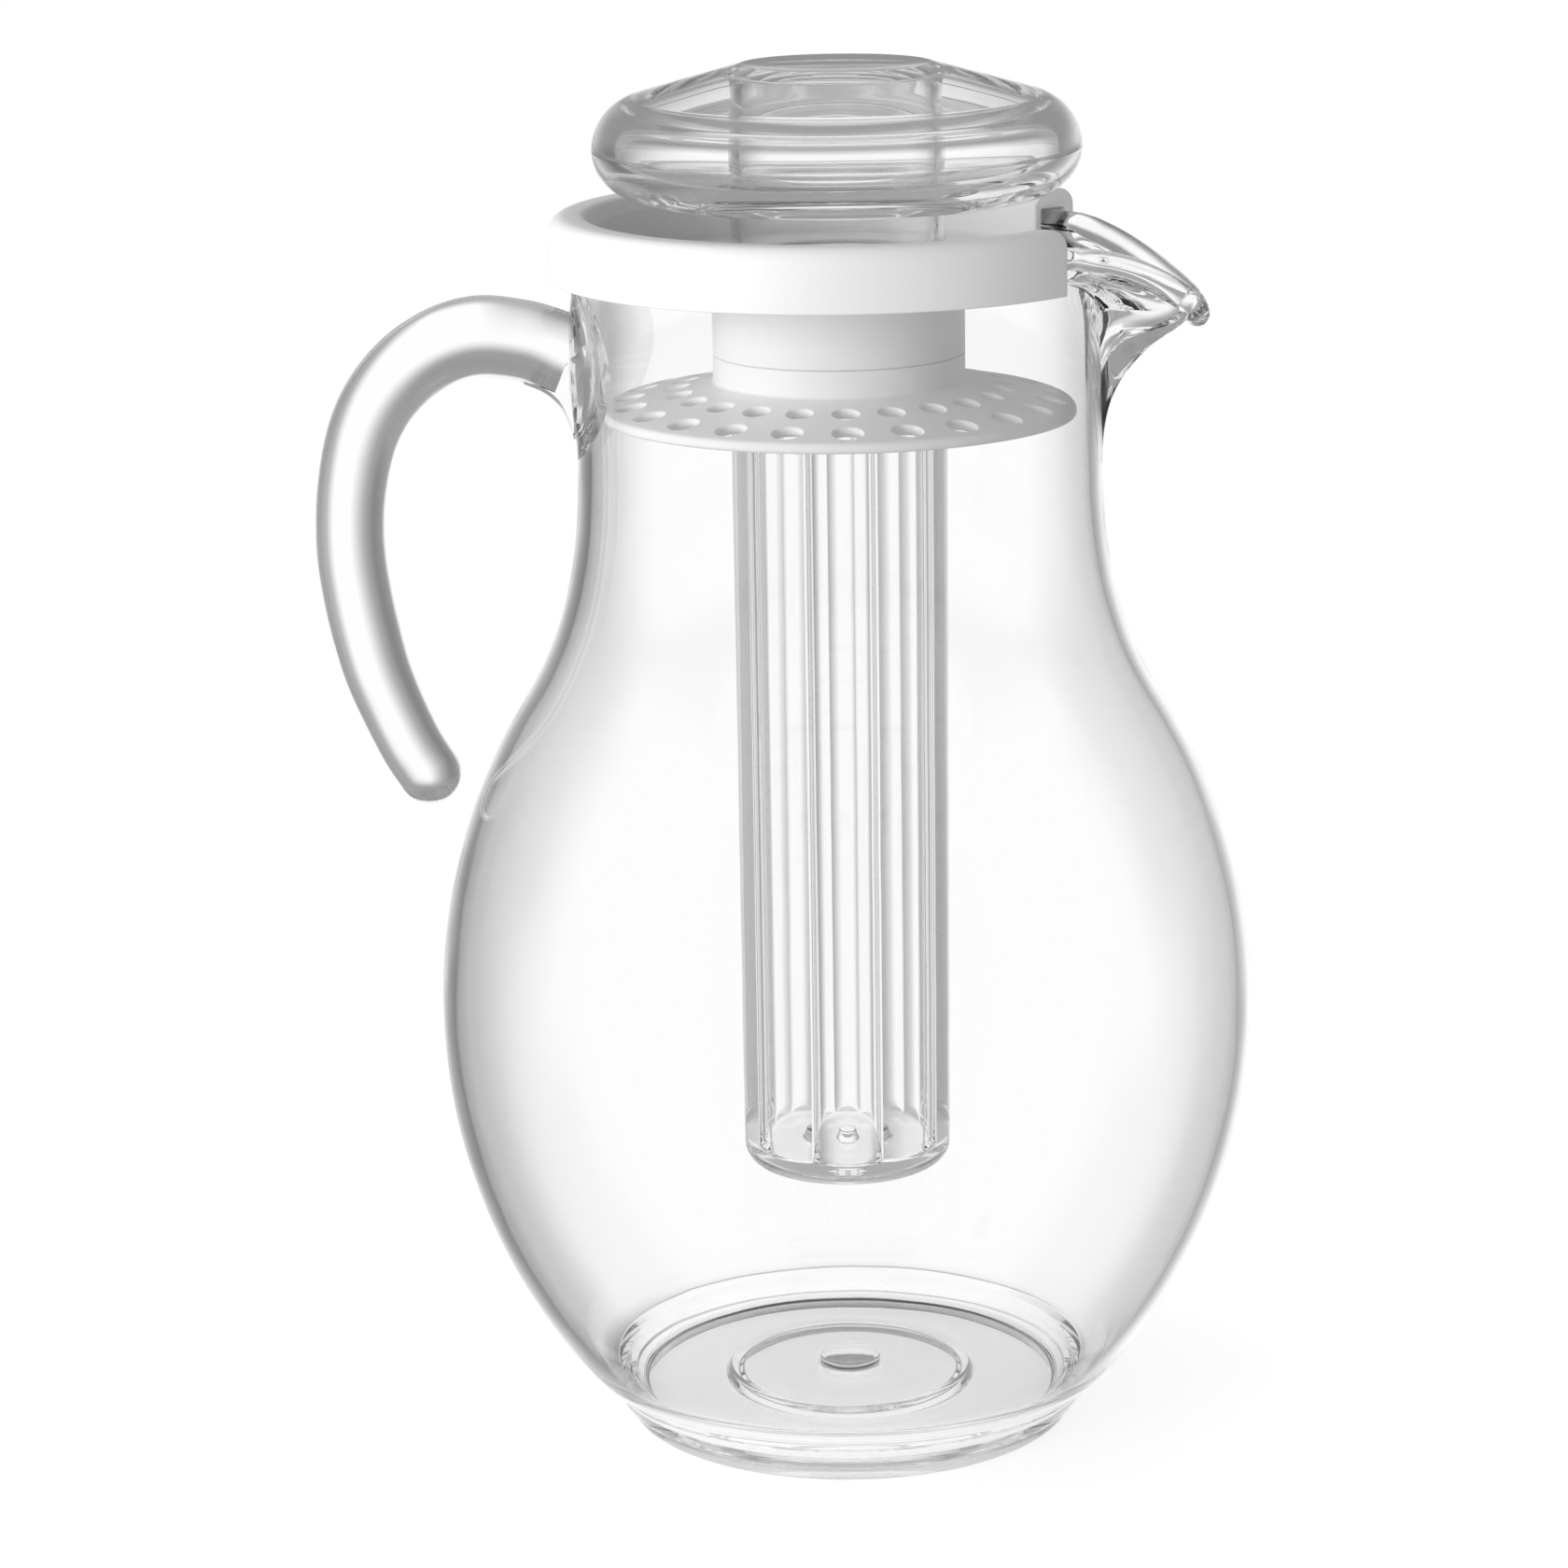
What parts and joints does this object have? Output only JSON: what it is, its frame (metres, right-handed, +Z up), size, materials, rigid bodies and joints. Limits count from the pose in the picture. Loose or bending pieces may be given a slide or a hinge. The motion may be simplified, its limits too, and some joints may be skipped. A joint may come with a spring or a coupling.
{
  "type": "pitcher with ice core",
  "caption": "Clear pitcher with a pear-shaped body, open hook handle and pointed spout, a strainer lid and a lift-out fluted ice tube under a hollow clear cap.",
  "frame": {"origin": "centre of the foot ring on the plane the pitcher stands on", "axes": "+Z up along the jug's axis, +X towards the spout, -X towards the handle"},
  "size_m": [0.1885, 0.165, 0.2773],
  "materials": {
    "clear": "polished clear",
    "white": "satin",
    "seal": "matte"
  },
  "bodies": {
    "jug": {"jug_body": "clear", "spout": "clear", "handle": "clear"},
    "lid": {"lid_ring": "white"},
    "strainer": {"strainer": "white"},
    "tube": {"ice_tube": "clear"},
    "cap": {"cap_base": "clear", "cap_top": "clear", "plug_seal": "seal"}
  },
  "joints": [
    {"name": "lid_lift", "type": "slide", "parent": "jug", "child": "lid", "axis": [0, 0, 1], "range_m": [0, 0.2]},
    {"name": "strainer_pull", "type": "slide", "parent": "lid", "child": "strainer", "axis": [0, 0, -1], "range_m": [0, 0.01]},
    {"name": "tube_lift", "type": "slide", "parent": "lid", "child": "tube", "axis": [0, 0, 1], "range_m": [0, 0.19]},
    {"name": "cap_lift", "type": "slide", "parent": "tube", "child": "cap", "axis": [0, 0, 1], "range_m": [0, 0.03]}
  ]
}
